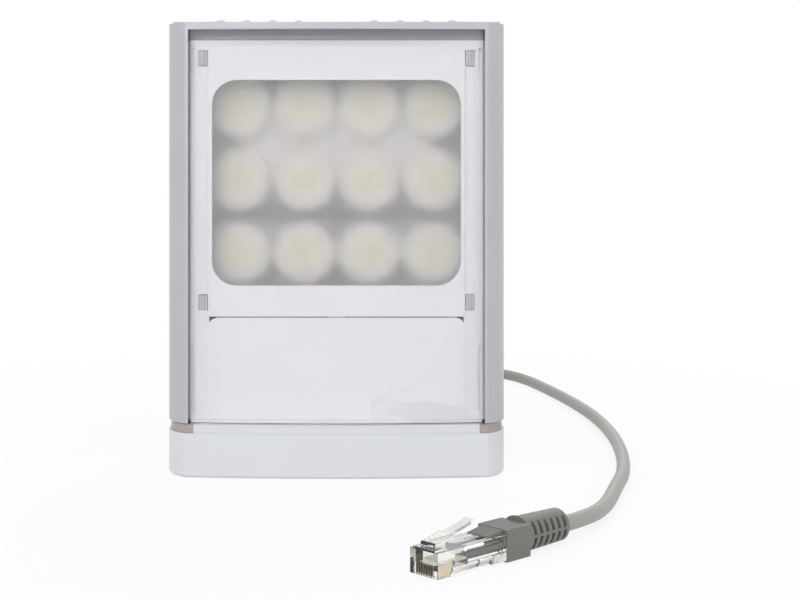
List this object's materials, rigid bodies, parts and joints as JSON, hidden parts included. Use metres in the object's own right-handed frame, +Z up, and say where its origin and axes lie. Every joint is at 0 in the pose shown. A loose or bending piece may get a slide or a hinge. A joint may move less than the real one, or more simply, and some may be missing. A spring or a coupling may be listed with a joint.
{
  "type": "white light illuminator",
  "caption": "Finned light fitting for a camera: white LEDs behind a frosted window and clear front cover, with end cap, rear cable gland and a short network lead with a modular plug.",
  "frame": {"origin": "under the middle of the housing, on the face of the end cap that it stands on", "axes": "+X to the right, the front faces -Y, +Z up"},
  "size_m": [0.193, 0.4132, 0.1834],
  "materials": {
    "housing_paint": "satin silver grey powder coat",
    "clear_polycarbonate": "clear, polished",
    "bezel_moulding": "silver grey, satin",
    "clear_silicone": "translucent",
    "white_moulding": "fine satin",
    "gasket_rubber": "matt",
    "baffle_foam": "matt closed cell foam",
    "stainless_screw": "plain",
    "frosted_acrylic": "frosted",
    "optic_acrylic": "clear",
    "holder_plastic": "satin",
    "board_coating": "white solder resist",
    "thermal_filler": "matt",
    "emitter_phosphor": "cream",
    "ribbon_jacket": "matt",
    "circuit_board": "satin",
    "plated_brass": "plated",
    "ferrite": "matt",
    "capacitor_can": "sleeved",
    "chip_epoxy": "matt",
    "connector_nylon": "satin",
    "gland_nylon": "satin",
    "lead_jacket": "satin",
    "boot_vinyl": "satin",
    "plug_polycarbonate": "clear",
    "contact_gold": "gold plated",
    "wire_insulation": "satin"
  },
  "bodies": {
    "illuminator": {"rear_housing": "housing_paint", "front_cover": "clear_polycarbonate", "cover_bezel": "bezel_moulding", "cover_seal": "clear_silicone", "bottom_cap": "white_moulding", "cap_gasket": "gasket_rubber", "cap_screws": "stainless_screw", "fascia": "white_moulding", "top_baffle": "baffle_foam", "lens_frame": "white_moulding", "diffuser_lens": "frosted_acrylic", "lower_panel": "white_moulding", "lens_clip_top_left": "white_moulding", "lens_clip_top_right": "white_moulding", "lens_clip_bottom_left": "white_moulding", "lens_clip_bottom_right": "white_moulding", "thermal_pad": "thermal_filler", "led_board": "board_coating", "board_screws": "stainless_screw", "led_emitters": "emitter_phosphor", "led_optics": "optic_acrylic", "optic_holders": "holder_plastic", "led_supply_ribbon": "ribbon_jacket", "driver_board": "circuit_board", "driver_standoffs": "plated_brass", "driver_screws": "stainless_screw", "transformer": "ferrite", "inductor": "ferrite", "capacitors": "capacitor_can", "power_chips": "chip_epoxy", "supply_connector": "connector_nylon", "lead_connector": "connector_nylon", "gland_body": "gland_nylon", "gland_locknut": "gland_nylon", "gland_seal": "gasket_rubber", "gland_nut": "gland_nylon", "gland_sleeve": "gland_nylon", "inner_lead": "lead_jacket", "network_lead": "lead_jacket", "plug_boot": "boot_vinyl", "plug_body": "plug_polycarbonate", "plug_contacts": "contact_gold", "plug_wires": "wire_insulation", "plug_jacket_end": "lead_jacket"},
    "latch": {"plug_latch": "plug_polycarbonate"}
  },
  "joints": [
    {"name": "latch_press", "type": "hinge", "parent": "illuminator", "child": "latch", "pos_m": [0.02825, -0.17036, 0.0099], "axis": [-0.682, 0.7314, 0], "range_deg": [0, 11], "stiffness_Nm_per_rad": 0.01}
  ]
}
